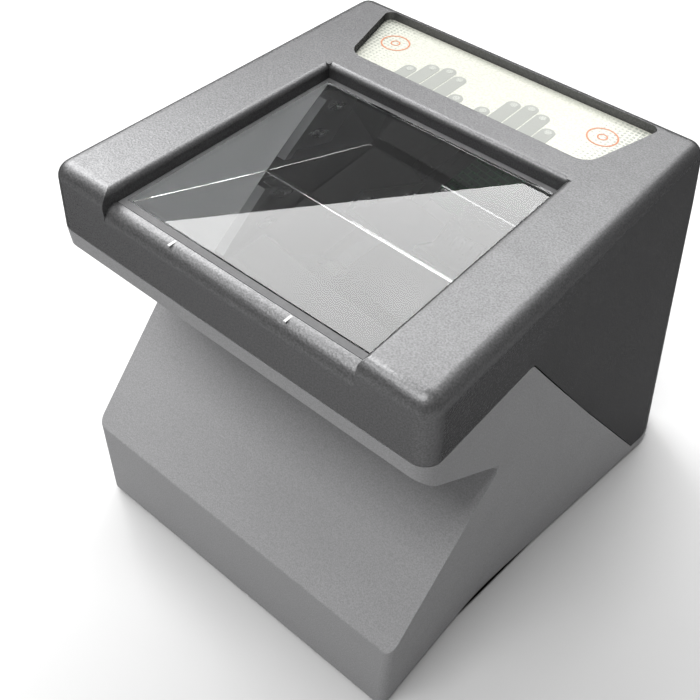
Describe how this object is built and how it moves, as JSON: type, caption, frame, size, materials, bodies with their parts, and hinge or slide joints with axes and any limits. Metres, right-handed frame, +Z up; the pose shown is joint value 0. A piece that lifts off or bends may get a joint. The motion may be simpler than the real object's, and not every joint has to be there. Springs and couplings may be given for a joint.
{
  "type": "fingerprint scanner terminal",
  "caption": "Desktop fingerprint scanner with a square glass platen in a raised grey frame, a hand-icon indicator label and a waisted light grey base.",
  "frame": {"origin": "middle of the footprint on the table, at the underside of the rubber feet", "axes": "+Z up, -Y the front that faces the person, +X the right-hand side as seen from the front, the body is mirrored about X = 0"},
  "size_m": [0.161, 0.179, 0.1534],
  "materials": {
    "cover_paint": "fine textured satin gunmetal paint",
    "base_plastic": "fine spark-eroded light grey moulding",
    "plate_plastic": "matte mid grey moulding",
    "optical_glass": "polished optical glass",
    "lens_glass": "coated optical glass",
    "gasket_rubber": "matte grey rubber",
    "foot_rubber": "black rubber",
    "print_white": "white screen print",
    "overlay_film": "translucent off-white printed film",
    "board_green": "green solder mask",
    "led_clear": "clear lens over yellow phosphor",
    "guide_clear": "frosted clear acrylic",
    "chassis_black": "matte black anodised",
    "sheet_steel": "plain zinc plated sheet",
    "screw_steel": "bright zinc plated",
    "foam_black": "black foam",
    "opal_white": "opal acrylic",
    "frame_white": "white reflective moulding",
    "mirror_glass": "front surface mirror",
    "lens_black": "black anodised",
    "ring_black": "black anodised, knurled",
    "chip_black": "moulded epoxy",
    "sensor_dark": "dark image sensor under its window",
    "capacitor_blue": "shrink sleeve",
    "connector_white": "natural nylon",
    "socket_steel": "tinned steel shell",
    "jack_black": "black moulding",
    "cable_grey": "flat ribbon",
    "print_grey": "grey-green screen print on the overlay",
    "print_orange": "orange screen print on the overlay"
  },
  "bodies": {
    "housing": {"top_cover": "cover_paint", "base_housing": "base_plastic", "bottom_plate": "plate_plastic", "port_plate": "plate_plastic", "platen_prism": "optical_glass", "platen_gasket": "gasket_rubber", "tick_marks": "print_white", "indicator_overlay": "overlay_film", "indicator_board": "board_green", "indicator_leds": "led_clear", "light_guides": "guide_clear", "optics_chassis": "chassis_black", "prism_retainers": "sheet_steel", "retainer_screws": "screw_steel", "prism_pads": "foam_black", "diffuser_sheet": "opal_white", "light_frame": "frame_white", "light_board": "board_green", "light_leds": "led_clear", "light_screws": "screw_steel", "fold_mirror": "mirror_glass", "mirror_bracket": "sheet_steel", "mirror_clips": "screw_steel", "bracket_screws": "screw_steel", "lens_bracket": "sheet_steel", "lens_holder": "lens_black", "sensor_board": "board_green", "image_sensor": "sensor_dark", "sensor_screws": "screw_steel", "main_board": "board_green", "main_board_chips": "chip_black", "capacitors": "capacitor_blue", "cable_connectors": "connector_white", "usb_socket": "socket_steel", "power_jack": "jack_black", "board_screws": "screw_steel", "indicator_cable": "cable_grey", "light_cable": "cable_grey", "sensor_cable": "cable_grey", "base_screws": "screw_steel", "cover_screws": "screw_steel", "rubber_feet": "foot_rubber"},
    "focus_ring": {"focus_ring": "ring_black", "focus_lock_screw": "screw_steel"},
    "lens_barrel": {"lens_barrel": "lens_black", "front_lens": "lens_glass", "rear_lens": "lens_glass"}
  },
  "joints": [
    {"name": "focus_turn", "type": "hinge", "parent": "housing", "child": "focus_ring", "pos_m": [0, -0.00242, 0.04015], "axis": [0, 0.8059, 0.592], "range_deg": [-135, 135]},
    {"name": "lens_travel", "type": "slide", "parent": "housing", "child": "lens_barrel", "axis": [0, 0.8059, 0.592], "range_m": [-0.0015, 0.0015]}
  ],
  "couplings": [
    {"joint": "lens_travel", "follows": "focus_turn", "m_per_rad": 0.00063662}
  ]
}
